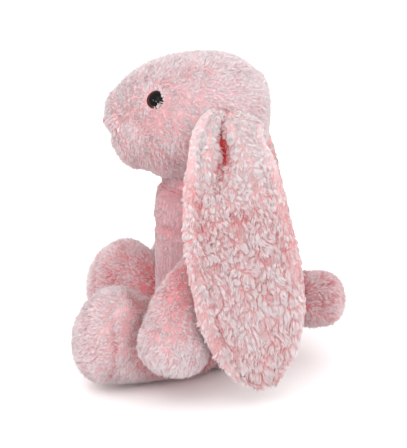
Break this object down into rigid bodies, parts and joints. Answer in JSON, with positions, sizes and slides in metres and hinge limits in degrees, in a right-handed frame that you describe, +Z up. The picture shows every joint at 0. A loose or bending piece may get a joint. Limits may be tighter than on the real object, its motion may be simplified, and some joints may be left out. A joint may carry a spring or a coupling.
{
  "type": "stuffed bunny rabbit",
  "caption": "Seated plush lop-eared rabbit with floppy ears, a turning head, swinging arms and legs and a round tail.",
  "frame": {"origin": "on the surface that the toy sits on, at the seat mount under the front of the body", "axes": "+Z up, the face looks along -Y, the toy's left side is +X"},
  "size_m": [0.202, 0.1594, 0.1947],
  "materials": {
    "plush": "medium pile plush, pale pink tips over coral roots",
    "chest_plush": "short smooth pile plush, dusty pink",
    "ear_plush": "long shaggy pile plush, pale pink tips over coral roots",
    "stuffing": "white polyester fibre",
    "pellets": "bag of plastic pellets",
    "eye_plastic": "glossy dark brown with a black pupil",
    "washer_plastic": "white moulded plastic",
    "nose_thread": "pink satin stitch"
  },
  "bodies": {
    "torso": {"body_front_panel": "chest_plush", "body_back_panel": "plush", "body_stuffing": "stuffing", "seat_pellet_bag": "pellets"},
    "neck": {"neck_stuffing": "stuffing"},
    "head": {"head_gusset": "plush", "head_side_left": "plush", "head_side_right": "plush", "head_stuffing": "stuffing", "nose_embroidery": "nose_thread", "eye_left": "eye_plastic", "eye_right": "eye_plastic", "eye_washer_left": "washer_plastic", "eye_washer_right": "washer_plastic"},
    "ear_left": {"ear_lining_left": "ear_plush", "ear_back_left": "ear_plush"},
    "ear_right": {"ear_lining_right": "ear_plush", "ear_back_right": "ear_plush"},
    "arm_left": {"arm_outer_left": "plush", "arm_inner_left": "plush", "arm_stuffing_left": "stuffing"},
    "arm_right": {"arm_outer_right": "plush", "arm_inner_right": "plush", "arm_stuffing_right": "stuffing"},
    "leg_left": {"leg_outer_left": "plush", "leg_inner_left": "plush", "foot_sole_left": "plush", "leg_stuffing_left": "stuffing"},
    "leg_right": {"leg_outer_right": "plush", "leg_inner_right": "plush", "foot_sole_right": "plush", "leg_stuffing_right": "stuffing"},
    "tail": {"tail_left_panel": "plush", "tail_right_panel": "plush", "tail_stuffing": "stuffing"}
  },
  "joints": [
    {"name": "head_turn", "type": "hinge", "parent": "torso", "child": "neck", "pos_m": [0, 0.002, 0.108], "axis": [0, 0, 1], "range_deg": [-4, 4]},
    {"name": "head_nod", "type": "hinge", "parent": "neck", "child": "head", "pos_m": [0, 0.002, 0.108], "axis": [-1, 0, 0], "range_deg": [-15, 5]},
    {"name": "ear_lift_left", "type": "hinge", "parent": "head", "child": "ear_left", "pos_m": [0.0395, 0.017, 0.163], "axis": [0.2, -0.9798, 0], "range_deg": [0, 110]},
    {"name": "ear_lift_right", "type": "hinge", "parent": "head", "child": "ear_right", "pos_m": [-0.0395, 0.017, 0.163], "axis": [0.2, 0.9798, 0], "range_deg": [0, 110]},
    {"name": "arm_raise_left", "type": "hinge", "parent": "torso", "child": "arm_left", "pos_m": [0.03, 0.004, 0.09], "axis": [-1, 0, 0], "range_deg": [0, 95]},
    {"name": "arm_raise_right", "type": "hinge", "parent": "torso", "child": "arm_right", "pos_m": [-0.03, 0.004, 0.09], "axis": [-1, 0, 0], "range_deg": [0, 95]},
    {"name": "leg_swing_left", "type": "hinge", "parent": "torso", "child": "leg_left", "pos_m": [0.0315, -0.0063, 0.018], "axis": [0.8772, 0.4801, 0], "range_deg": [-25, 12]},
    {"name": "leg_swing_right", "type": "hinge", "parent": "torso", "child": "leg_right", "pos_m": [-0.0315, -0.0063, 0.018], "axis": [0.8772, -0.4801, 0], "range_deg": [-25, 12]},
    {"name": "tail_wag", "type": "hinge", "parent": "torso", "child": "tail", "pos_m": [0, 0.044, 0.036], "axis": [1, 0, 0], "range_deg": [-15, 15]}
  ]
}
